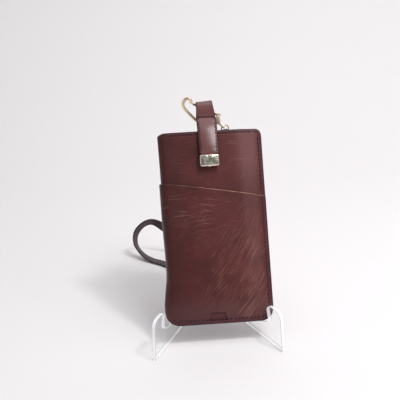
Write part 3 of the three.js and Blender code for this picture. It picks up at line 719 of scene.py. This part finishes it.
tabSet = {"bevel": 0.45, "across": 14, "along": 150, "crown": 0.8, "crownFrom": (161.5, 166), "crownTo": (193, 197),
          "loopFoot": 198.2, "loopTop": 212, "skew": 0.064, "middle": -2.4}
tabRows = [  # w, v, u, thickness, width
    (11.5, 151.1, -2.0, 2.4, 15.0),
    (11.5, 160.7, -2.0, 2.4, 15.0),
    (11.5, 161.2, -2.0, 2.6, 17.6),
    (10.8, 169.0, -2.0, 2.6, 18.3),
    (9.4, 177.0, -2.0, 2.6, 18.9),
    (7.4, 185.0, -2.0, 2.6, 19.2),
    (4.9, 191.6, -2.1, 2.5, 19.3),
    (2.4, 195.8, -2.3, 2.2, 19.2),
    (1.0, 198.2, -2.4, 1.6, 18.8),
    (2.4, 200.2, -2.5, 1.5, 18.3),
    (2.9, 204.4, -2.7, 1.5, 17.2),
    (2.7, 209.7, -3.1, 1.5, 16.2),
    (1.6, 212.4, -3.3, 1.5, 15.7),
    (-0.7, 213.3, -3.3, 1.5, 15.6),
    (-2.9, 212.2, -3.3, 1.5, 15.6),
    (-4.0, 208.4, -3.1, 1.5, 15.5),
    (-3.8, 204.0, -2.8, 1.5, 15.2),
    (-2.6, 200.4, -2.6, 1.5, 14.0),
    (-1.0, 198.2, -2.4, 1.6, 12.4),
    (-1.3, 195.0, -2.4, 1.6, 12.0),
    (-2.4, 191.6, -2.4, 1.6, 12.0),
    (-4.7, 188.3, -2.4, 1.6, 12.0),
    (-6.7, 185.2, -2.4, 1.6, 12.0),
    (-6.72, 181, -2.4, 1.6, 12.0),
    (-6.87, 174, -2.4, 1.6, 12.0),
    (-7.02, 165, -2.4, 1.6, 12.0),
    (-7.2, 154, -2.4, 1.6, 12.0),
]
tabLine = byDistance(tabRows, 2)
tabEnd = tabLine[-1][0]


def tabPlace(far, sideways, out):  # a point on the tab: along it, across it and off its middle
    far = clamp(far, 0, tabEnd)
    w, v, u = readTable(tabLine, far)[:3]
    back, up = slopeAt(tabLine, far)[:2]
    along = Vector((0, -back, up)).normalized()
    spot = Vector((u + sideways, -w, v)) + along.cross(Vector((1, 0, 0))) * out
    lift = tabSet["skew"] * smoothStep(spot.z, tabSet["loopFoot"], tabSet["loopTop"])
    spot.z += lift * (spot.x - tabSet["middle"])
    return bagFrame @ spot


def tabDrop(far, sideways):  # the front is a little round, lower towards its sewn edges
    t, values = tabSet, readTable(tabLine, far)
    v, half = values[1], values[4] / 2
    front = smoothStep(v, *t["crownFrom"]) * (1 - smoothStep(v, *t["crownTo"])) if far < tabEnd / 3 else 0
    return t["crown"] * front * min(abs(sideways) / half, 1) ** 2


def makeTab(t):
    obj = flatStrip(tabEnd * mm, t["across"], t["along"], lambda far: readTable(tabLine, far / mm)[4] * mm,
                    lambda far: readTable(tabLine, far / mm)[3] * mm, t["bevel"] * mm)

    def wrap(co):
        far, sideways, out = co.y / mm, co.x / mm, co.z / mm
        return tabPlace(far, sideways, out + tabDrop(far, sideways) if out < 0 else out)

    moveVerts(obj, wrap)
    finishPiece(obj, "tab", tabLeather, "bag", ["closure_tab"], 40)
    print("tab made")


makeTab(tabSet)


# metal cap on the tab, and the closure behind it

tipSet = {"u": -2.0, "v": 154.7, "w": 11.5, "wide": 18.5, "high": 11.3, "thick": 4.4, "bevel": 1.0, "edge": 0.16,
          "slotWide": 15.6, "slotThick": 3.0, "floor": 1.7}


def makeTip(t):
    obj = added(bpy.ops.mesh.primitive_cube_add, size=1, scale=(t["wide"], t["thick"], t["high"]))
    settle(obj)
    soften(obj, t["bevel"], 1)
    soften(obj, t["edge"], 2, 30)
    slot = added(bpy.ops.mesh.primitive_cube_add, size=1, location=(0, 0, t["floor"]),
                 scale=(t["slotWide"], t["slotThick"], t["high"]))
    cutAway(obj, slot)
    obj.data.transform(bagFrame @ Matrix.Translation((t["u"], -t["w"], t["v"])))
    finishPiece(obj, "tabTip", tipGold, "bag", ["tab_tip"], 25)
    print("tip made")


buttonSet = {"radius": 6, "low": 6.4, "high": 9.0, "rim": 0.3, "land": 1.4, "wall": 0.5, "dish": 0.35}


def makeButton(b):
    obj = added(bpy.ops.mesh.primitive_cylinder_add, vertices=48, radius=b["radius"], depth=b["high"] - b["low"])

    def dish():
        bpy.ops.mesh.select_all(action="DESELECT")
        bpy.ops.object.mode_set(mode="OBJECT")
        for face in obj.data.polygons:
            face.select = abs(face.normal.z) > 0.9
        bpy.ops.object.mode_set(mode="EDIT")
        bpy.ops.mesh.inset(thickness=b["land"], depth=0)
        bpy.ops.mesh.inset(thickness=b["wall"], depth=-b["dish"])

    editMesh(obj, dish)
    soften(obj, b["rim"], 3)
    turn = Matrix.Rotation(radians(90), 4, "X")
    middle = (b["low"] + b["high"]) / 2
    obj.data.transform(bagFrame @ Matrix.Translation((tipSet["u"], -middle, tipSet["v"])) @ turn)
    finishPiece(obj, "closureButton", paleGold, "bag", ["snap_button"], 30)
    print("button made")


makeTip(tipSet)
makeButton(buttonSet)


# snap hook, drawn flat: x along the gate to the nose, y towards the spine, in mm

hookSet = {
    "hinge": (10.5, 198.9, 0.2), "slope": 27.6, "tilt": 40, "spine": 1.5, "body": 4.4, "round": 1.4, "bevel": 0.15,
    "circles": [(0, 0, 2.0), (0.5, 7.6, 1.6), (-3.6, 7.0, 1.6)],
    "slotHalf": 1.6, "slotWide": 5.2, "slotAt": (1, -1, 0), "pin": 0.5, "pinProud": 0.3, "pinRound": 0.12,
    "steps": 90, "start": 0.75, "nose": ((0.2, 0.94), (0.36, 0.76), (0.46, 0.4)),  # rounded off: far, share
    "barrelTo": 2.4,
}
spineRows = [(0.3, 7.0), (4, 10.0), (9, 13.1), (14, 14.8), (19, 14.8), (23.5, 13.1), (28.1, 11.0), (32.0, 9.1),
             (34.9, 6.8), (36.4, 3.4), (36.0, -0.9), (34.2, -3.2), (32.1, -3.5), (30.4, -2.2), (29.5, -0.4)]
slope, tilt = radians(hookSet["slope"]), radians(hookSet["tilt"])
hookAlong = Vector((-cos(slope), 0, sin(slope)))
hookSpine = Vector((-sin(slope) * cos(tilt), sin(tilt), -cos(slope) * cos(tilt)))
hookOut = hookAlong.cross(hookSpine)
hookTurn = Matrix((hookAlong, hookSpine, hookOut)).transposed()
hookPlace = Vector((hookSet["hinge"][0], -hookSet["hinge"][2], hookSet["hinge"][1]))
hookFrame = bagFrame @ Matrix.Translation(hookPlace) @ hookTurn.to_4x4()


def wireMesh(points, radii, sides):  # a round wire with closed ends
    obj = added(bpy.ops.curve.primitive_nurbs_path_add)
    obj.data.splines.clear()
    line = obj.data.splines.new("POLY")
    line.points.add(len(points) - 1)
    for point, place, radius in zip(line.points, points, radii):
        point.co = (*place, 1)
        point.radius = radius
    obj.data.bevel_depth = 1.0
    obj.data.bevel_resolution = sides
    obj.data.use_fill_caps = True
    only(obj)
    bpy.ops.object.convert(target="MESH")
    return bpy.context.object


def makeHook(h):
    line, steps = byDistance(spineRows, 2), h["steps"]
    points = [Vector((*readTable(line, line[-1][0] * k / steps), 0)) for k in range(steps + 1)]
    radii = [h["spine"] * (1 if k else h["start"]) for k in range(steps + 1)]
    nose = (points[-1] - points[-2]).normalized()
    for far, share in h["nose"]:
        points.append(points[steps] + nose * far)
        radii.append(h["spine"] * share)
    spine = wireMesh(points, radii, 5)
    body = added(bpy.ops.mesh.primitive_circle_add, vertices=60, radius=1, fill_type="NGON")

    def band(co):  # furthest point of the three circles that way
        way = Vector((co.x, co.y)).normalized()
        x, y, radius = max(h["circles"], key=lambda c: way.x * c[0] + way.y * c[1] + c[2])
        return Vector((x + radius * way.x, y + radius * way.y, 0))

    moveVerts(body, band)
    modify(body, "SOLIDIFY", thickness=h["body"], offset=0)
    soften(body, h["round"], 5)
    slot = added(bpy.ops.mesh.primitive_cube_add, size=1, location=h["slotAt"],
                 scale=(h["slotWide"], h["slotWide"], 2 * h["slotHalf"]))
    cutAway(body, slot)
    soften(body, h["bevel"], 2, 40)
    pin = added(bpy.ops.mesh.primitive_cylinder_add, vertices=20, radius=h["pin"], depth=h["body"] + h["pinProud"])
    soften(pin, h["pinRound"])
    obj = joinAll([spine, body, pin])
    # painted highlight: the barrel end gets the pale copy of the gold
    barrel = [face.index for face in obj.data.polygons if face.center.x < h["barrelTo"]]
    obj.data.transform(hookFrame)
    finishPiece(obj, "hook", [paleGold, paintedHighlightGold], "bag", ["snap_hook"])
    for index in barrel:
        obj.data.polygons[index].material_index = 1
    print("hook made")


gateSet = {"length": 27.6, "radius": 1.0, "knuckle": 1.3, "bore": 0.8, "thin": 0.3,
           "tip": ((0.35, 0), (0.1, 0.12), (0, 0.4))}  # back from the end, less radius


def makeGate(g):
    rows = [(-g["knuckle"], g["thin"])]
    for k in range(1, 9):
        turn = pi * (k / 10 - 0.5)
        rows.append((g["knuckle"] * sin(turn), max(g["knuckle"] * cos(turn), g["thin"])))
    rows += [(g["knuckle"] + 0.1, g["radius"]), (g["length"] / 2, g["radius"])]
    rows += [(g["length"] - back, g["radius"] - less) for back, less in g["tip"]]
    obj = wireMesh([(x, 0, 0) for x, r in rows], [r for x, r in rows], 6)
    cutAway(obj, added(bpy.ops.mesh.primitive_cylinder_add, vertices=24, radius=g["bore"], depth=4))
    obj.data.transform(hookFrame)
    # painted reflection: the gate gets the darker copy of the gold
    finishPiece(obj, "gate", paintedReflectionGold, "gate", ["hook_gate"])
    print("gate made")


linkSet = {"neck": (-3.6, 7.0), "reach": 2.4, "way": (-0.75, 0.58, -0.32), "post": 1.6, "postLong": 1.1,
           "stem": 0.95, "stemLong": 1.9, "eye": 1.9, "eyeWire": 0.9, "ring": 4.1, "ringWire": 0.6,
           "collar": ((0, 0.3), (0.12, 0.08), (0.3, 0), (0.8, 0), (0.92, 0.14), (1.06, 0.14), (1.18, 0),
                      (1.7, 0), (1.88, 0.1), (2.0, 0.35)),  # along the post, less radius
           "weldLong": 0.5, "weldMore": 0.16}
neckWay = Vector(linkSet["way"]).normalized()
linkFoot = hookPlace + hookTurn @ (Vector((*linkSet["neck"], 0)) + neckWay * linkSet["reach"])
linkFall = hookTurn @ neckWay
linkWire = linkFall.cross(Vector((0, 1, 0))).normalized()


def makeEye(k):
    loop = added(bpy.ops.mesh.primitive_torus_add, major_segments=48, minor_segments=14, major_radius=k["eye"],
                 minor_radius=k["eyeWire"], location=(0, k["postLong"] + k["eye"], 0))
    settle(loop)
    rows = [(-k["stemLong"], k["stem"]), (-0.04, k["stem"])]  # thin stem that turns inside the barrel
    rows += [(y, k["post"] - less) for y, less in k["collar"]]
    post = wireMesh([(0, y, 0) for y, r in rows], [r for y, r in rows], 6)
    obj = joinAll([loop, post])
    obj.data.transform(bagFrame @ basis(linkFall.cross(linkWire), linkFall, linkWire, linkFoot))
    # painted highlight: the eye gets the pale copy of the gold
    finishPiece(obj, "swivelEye", paintedHighlightGold, "bag", ["swivel_eye"])


def makeRing(k):
    obj = added(bpy.ops.mesh.primitive_torus_add, major_segments=72, minor_segments=14,
                major_radius=k["ring"], minor_radius=k["ringWire"])

    def weld(co):  # the wire is a little thicker where its ends were closed
        near = exp(-((co.x / k["weldLong"]) ** 2)) if co.y > 0 else 0
        core = Vector((co.x, co.y, 0)).normalized() * k["ring"]
        return core + (co - core) * (1 + k["weldMore"] * near)

    moveVerts(obj, weld)
    center = linkFoot + linkFall * (k["postLong"] + k["eye"] + k["ring"])
    obj.data.transform(bagFrame @ basis(linkFall, linkWire, linkFall.cross(linkWire), center))
    finishPiece(obj, "ring", paleGold, "bag", ["hook_ring"])


makeHook(hookSet)
makeGate(gateSet)
makeEye(linkSet)
makeRing(linkSet)
print("link made")


# folded leather end that holds the strap on the ring

endSet = {"hang": (21.52, 45.3, 182.57), "turn": 25.9, "leather": 1.4, "length": 24, "foldOff": 1.65, "foldRise": 1.5,
          "topWide": 5.5, "legOff": 2.65, "wide": 10.2, "bevel": 0.4, "across": 8, "along": 80,
          "taper": [(2.45, -8, 9.2), (2.2, -3.5, 7.0)]}  # off the middle, drop, width


def makeStrapEnd(e):
    leg = [(e["legOff"], -e["length"], e["wide"]), (e["legOff"], -e["length"] / 2, e["wide"]), *e["taper"]]
    rows = [(-off, z, wide) for off, z, wide in leg]
    for k in range(7):
        angle = pi * (1 - k / 6)
        rows.append((e["foldOff"] * cos(angle), e["foldRise"] + e["foldOff"] * sin(angle), e["topWide"]))
    rows += leg[::-1]
    line = byDistance(rows, 2)
    turn = radians(e["turn"])
    side = Vector((cos(turn), sin(turn), 0))
    back = Vector((-sin(turn), cos(turn), 0))
    hang = Vector(e["hang"])
    obj = flatStrip(line[-1][0] * mm, e["across"], e["along"], lambda far: readTable(line, far / mm)[2] * mm,
                    lambda far: e["leather"] * mm, e["bevel"] * mm)

    def bend(co):
        far = clamp(co.y / mm, 0, line[-1][0])
        off, z = readTable(line, far)[:2]
        dOff, dz = slopeAt(line, far)[:2]
        along = (back * dOff + zAxis * dz).normalized()
        return (hang + back * off + zAxis * z + side * (co.x / mm) + along.cross(side) * (co.z / mm)) * mm

    moveVerts(obj, bend)
    finishPiece(obj, "strapEnd", strapLeather, "bag", ["strap_end"], 40)
    print("strap end made")


makeStrapEnd(endSet)


# stand: cut flat from one sheet, then bent

standSet = {"sheet": 4, "angle": 24.609, "spread": 60.5, "bend": 2.4, "fold": 42, "restTop": 92, "restRound": 6,
            "knee": 2.5, "kneeRadius": 8.5, "top": 38, "tipS": 20.6, "tipRadius": 6, "lipS": 23.9, "lipZ": 23,
            "seatW": 3.6, "restW": 10.1, "seatGap": 0.7, "bevel": 0.5, "sagSteps": 16, "scores": 6}


def arc(x, y, radius, start, end, steps):
    turns = [radians(lerp(start, end, k / steps)) for k in range(steps + 1)]
    return [(x + radius * cos(a), y + radius * sin(a)) for a in turns]


def standMiddle(s):  # from the front feet to the middle of the footprint
    wing = radians(s["angle"])
    return (s["spread"] / tan(wing) + s["sheet"] / 2 - s["sheet"] / 2 * sin(wing)) / 2


def wingOutline(s):
    lean = radians(bagSet["lean"])
    wing = radians(s["angle"])
    feetY = bagSet["footY"] + standMiddle(s)

    def onWing(v, w):
        return ((feetY + v * sin(lean) - w * cos(lean)) / cos(wing), bagSet["footZ"] + v * cos(lean) + w * sin(lean))

    restTop = onWing(s["restTop"], -s["restW"])
    foldS = s["spread"] / sin(wing)
    roundS = restTop[0] + s["restRound"]
    points = [(0, 0)]
    points += arc(s["knee"] + s["kneeRadius"], s["top"] - s["kneeRadius"], s["kneeRadius"], 180, 90, 8)
    points += arc(s["tipS"], s["top"] - s["tipRadius"], s["tipRadius"], 90, 0, 8)
    points += [(s["lipS"], s["lipZ"]), onWing(-s["seatGap"], s["seatW"]),
               onWing(-s["seatGap"], -s["restW"]), restTop]
    crest = arc(roundS, restTop[1], s["restRound"], 180, 36, 10)
    points += crest[1:]
    sag = (roundS + foldS) / 2, s["fold"] + s["restRound"]
    (x0, y0), (x1, y1), (x2, y2) = crest[-1], sag, (foldS, s["fold"])
    for k in range(1, s["sagSteps"] + 1):
        t = k / s["sagSteps"]
        a, b, c = (1 - t) ** 2, 2 * t * (1 - t), t * t
        points.append((a * x0 + b * x1 + c * x2, a * y0 + b * y1 + c * y2))
    return points, foldS


def makeStand(s):
    outline, foldS = wingOutline(s)
    wing = radians(s["angle"])
    bendHalf = s["bend"] * (pi / 2 - wing)
    foot = bendHalf + foldS - s["bend"] / tan(wing)
    right = [(foot - a, z) for a, z in outline if foot - a > 0.5]
    right.append((0, s["fold"]))
    whole = right + [(-x, z) for x, z in reversed(right[:-1])]
    obj = added(bpy.ops.mesh.primitive_circle_add, vertices=len(whole), radius=1, fill_type="NGON")
    for vert, (x, z) in zip(obj.data.vertices, whole):
        vert.co = (x, z, 0)

    def scoreLines():
        for k in range(-s["scores"], s["scores"] + 1):
            bisectAt((bendHalf * k / s["scores"], 0, 0), (1, 0, 0))

    editMesh(obj, scoreLines)
    modify(obj, "SOLIDIFY", thickness=s["sheet"], offset=0)
    soften(obj, s["bevel"])
    center = Vector((0, s["spread"] / tan(wing) - standMiddle(s) - s["bend"] / sin(wing)))

    def fold(co):
        far = abs(co.x)
        turn = min(far, bendHalf) / s["bend"]
        out = Vector((sin(turn), cos(turn)))
        way = Vector((cos(turn), -sin(turn)))
        spot = center + out * (s["bend"] + co.z) + way * max(far - bendHalf, 0)
        return Vector((sideOf(co.x) * spot.x, spot.y, co.y)) * mm

    def faceOut():
        bpy.ops.mesh.select_all(action="SELECT")
        bpy.ops.mesh.normals_make_consistent(inside=False)

    edge = obj.data.attributes.new("edge", "FLOAT", "FACE")
    for face in obj.data.polygons:
        level = abs(face.normal.z)
        edge.data[face.index].value = 0.0 if level > 0.95 else 0.5 if level > 0.2 else 1.0  # sheet, corner, cut
    moveVerts(obj, fold)
    editMesh(obj, faceOut)
    finishPiece(obj, "clearStand", clearPlastic, "bag", ["stand"], 30)
    print("stand made")


makeStand(standSet)


# stitches: one modelled, then copied along each seam

stitchSet = {"long": 2.6, "radius": 0.52, "pitch": 3.84, "slant": 12, "inset": leatherLook["sewnAt"], "proud": 0.16,
             "thread": threadRed, "rightTurn": 9, "leftTurn": 10, "underEdge": 2, "overEdge": 3,
             "sideTop": 176, "rimHeight": 181.2, "rimStart": 12, "rimStop": 8}
tabStitchSet = {"long": 2.4, "radius": 0.46, "pitch": 3.5, "slant": 16, "inset": 1.9, "proud": 0.12,
                "thread": threadWaxed, "crossLong": 1.6, "crossAt": (-8, -4, 0, 4, 8), "crossGap": 0.2,
                "frontFoot": 161.2, "startGap": 1.2, "endGap": 1.4, "backTop": 181, "backGap": 2, "backInset": 1.7}
stitchShape = {"straight": 0.28, "thinner": 0.45, "sunk": 0.55}  # shares of the length and the radius


def oneStitch(s):
    obj = added(bpy.ops.mesh.primitive_cylinder_add, vertices=8, radius=s["radius"], depth=s["long"])
    straight = stitchShape["straight"]

    def markEnds():
        for side in (1, -1):
            bisectAt((0, 0, side * s["long"] * straight), zAxis)

    editMesh(obj, markEnds)

    def sink(co):  # ends go down into their holes
        end = clamp((abs(co.z) / s["long"] - straight) / (0.5 - straight))
        thin = 1 - stitchShape["thinner"] * end
        return Vector((co.x * thin, co.y * thin - stitchShape["sunk"] * s["radius"] * end, co.z))

    moveVerts(obj, sink)
    return obj


def sewLine(name, spots, s, step=0.0008):  # spots gives (place, outward) pairs in metres along the seam
    line = byDistance([(*place, *out) for place, out in spots])
    far = line[-1][0]
    master = oneStitch(s)
    count = max(round(far / (s["pitch"] * mm)), 1)
    made = []
    for k in range(count):
        place, way, out = lineFrame(line, far * (k + 0.5) / count, step)
        way = Quaternion(out, radians(s["slant"])) @ way
        copy = master.copy()
        copy.data = master.data.copy()
        copy.data.transform(basis(out.cross(way), out, way, place) @ Matrix.Scale(mm, 4))
        scene.collection.objects.link(copy)
        made.append(copy)
    bpy.data.objects.remove(master)
    finishPiece(joinAll(made), name, s["thread"], "bag", (), 60)


def panelSpots(points, grow):  # points in the flat panel: flatX, v
    spots = []
    for (x0, v0), (x1, v1) in zip(points, points[1:]):
        steps = max(int(Vector((x1 - x0, v1 - v0)).length / 2), 1)
        for k in range(steps):
            x, v = lerp(x0, x1, k / steps), lerp(v0, v1, k / steps)
            place = panelPoint(x, v, grow)
            spots.append((place, (panelPoint(x, v, grow + 1) - place).normalized()))
    return spots


def makeSeams(s):
    low, right = s["inset"], bagWide - s["inset"]
    outer = pocketSet["gap"] + pocketSet["wall"] + s["proud"]
    near, far = s["rightTurn"], s["leftTurn"]
    turns = (0.3, 0.7, 1.1, 1.4)  # angles round a corner
    for side, tag in ((1, "front"), (-1, "back")):
        top = pocketEdge(side, 0.95)  # near the sewn side
        foot = [(right, top - s["underEdge"]), (right, low + near)]
        foot += [(right - near + near * cos(a), low + near - near * sin(a)) for a in turns]
        foot += [(low + far - far * sin(a), low + far - far * cos(a)) for a in turns[:3]]
        upper = [(right, s["sideTop"]), (right, top + s["overEdge"])]
        rim = [(s["rimStart"], s["rimHeight"]), (bagWide - s["rimStop"], s["rimHeight"])]
        for name, run, grow in (("pocketSeam.", foot, outer), ("sleeveSeam.", upper, s["proud"]),
                                ("rimSeam.", rim, s["proud"])):
            sewLine(name + tag, panelSpots([(side * x, v) for x, v in run], grow), s)
    print("seams sewn")


def makeTabSeams(s):
    def spots(steps):  # along, across
        out = []
        for far, sideways in steps:
            skin = tabDrop(far, sideways) - readTable(tabLine, far)[3] / 2 - s["proud"]
            place = tabPlace(far, sideways, skin)
            out.append((place, (tabPlace(far, sideways, skin - 1) - place).normalized()))
        return out

    def farAt(height, first):  # distance along the tab at a height on its front or back
        rows = tabLine if first else tabLine[::-1]
        return next(row[0] for row in rows if abs(row[2] - height) < 0.01)

    def edge(far, inset):
        return readTable(tabLine, far)[4] / 2 - inset

    def sewSides(start, end, steps, inset, tags):
        fars = [lerp(start, end, k / steps) for k in range(steps + 1)]
        for tag, side in zip(tags, (-1, 1)):
            sewLine("tabSeam." + tag, spots([(far, side * edge(far, inset)) for far in fars]), s)

    loop = farAt(tabSet["loopFoot"], True) - s["endGap"]
    sewSides(farAt(s["frontFoot"], True) + s["startGap"], loop, 24, s["inset"], ("left", "right"))
    cross = [(loop + s["crossGap"], x) for x in s["crossAt"]]
    sewLine("tabSeam.cross", spots(cross), {**s, "long": s["crossLong"]})
    sewSides(farAt(s["backTop"], False), tabEnd - s["backGap"], 12, s["backInset"], ("backLeft", "backRight"))
    print("tab sewn")


makeSeams(stitchSet)
makeTabSeams(tabStitchSet)


# floor, backdrop and lights

stageSet = {"floor": rgb(241, 239, 240), "front": -1.6, "backY": 0.75, "curve": 0.3, "wide": 5.0, "long": 4.6,
            "drop": 0.0002, "airTint": (0.95, 0.95, 0.98, 1), "airLight": 0.29}


def makeStage(s):
    obj = added(bpy.ops.mesh.primitive_grid_add, x_subdivisions=2, y_subdivisions=60, size=1)

    def sweep(co):
        far = (co.y + 0.5) * s["long"] + s["front"]
        start = s["backY"] - s["curve"]
        turn = clamp((far - start) / s["curve"], 0, pi / 2)
        y = min(far, start) + s["curve"] * sin(turn)
        z = s["curve"] * (1 - cos(turn)) + max(far - start - s["curve"] * pi / 2, 0)
        return Vector((co.x * s["wide"], y, z - s["drop"]))

    moveVerts(obj, sweep)
    f = Finish("paleFloor")
    f.set(Base_Color=s["floor"], Roughness=0.75)
    behind = f.node("ShaderNodeNewGeometry", None, None, 6)  # the sheet is only seen from its front
    seen = f.node("ShaderNodeMixShader", None, {0: behind, 1: Wire(f, f.shader.outputs[0]),
                                                2: f.node("ShaderNodeBsdfTransparent")})
    f.plug(f.tree.nodes["Material Output"].inputs[0], seen)
    obj.name = "floor"
    obj.data.materials.append(f.material)
    only(obj)
    bpy.ops.object.shade_smooth()


lightSet = [  # name, place, aim, width, height, power, tint
    ("key", (0.54, -0.46, 1.25), (0, 0, 0.1), 0.16, 0.16, 5.8, (1, 0.985, 0.975)),
    ("soft", (0.85, -0.75, 0.62), (0, 0, 0.12), 0.8, 0.9, 2.6, (1, 0.99, 0.99)),
    ("gloss", (0.37, -0.62, 1.28), (0, 0.03, 0.19), 0.38, 0.6, 5.0, (1, 0.99, 0.99)),
    ("above", (0.1, 0.3, 1.7), (0, 0.25, 0), 1.8, 1.4, 7.2, (1, 0.99, 1)),
    ("wall", (0.6, 0.1, 0.9), (0.2, 0.8, 0.4), 0.7, 0.7, 0.9, (1, 1, 1)),
    ("strip", (-1.3, -0.1, 0.56), (0, 0, 0.17), 0.16, 0.7, 0.5, (1, 1, 1)),
]


def areaLight(name, place, aim, wide, high, power, tint):
    light = added(bpy.ops.object.light_add, type="AREA", location=place)
    light.name = name
    light.data.shape = "RECTANGLE"
    light.data.size = wide
    light.data.size_y = high
    light.data.energy = power
    light.data.color = tint
    light.visible_glossy = name != "key"  # the small one gives shadows, no hot spot
    light.visible_camera = False  # their panels stay out of the picture
    light.rotation_euler = (Vector(aim) - Vector(place)).to_track_quat("-Z", "Y").to_euler()


makeStage(stageSet)
for row in lightSet:
    areaLight(*row)
studio = bpy.data.worlds.new("studio")
scene.world = studio
studio.use_nodes = True
air = studio.node_tree.nodes["Background"].inputs
air[0].default_value = stageSet["airTint"]
air[1].default_value = stageSet["airLight"]
print("stage set")
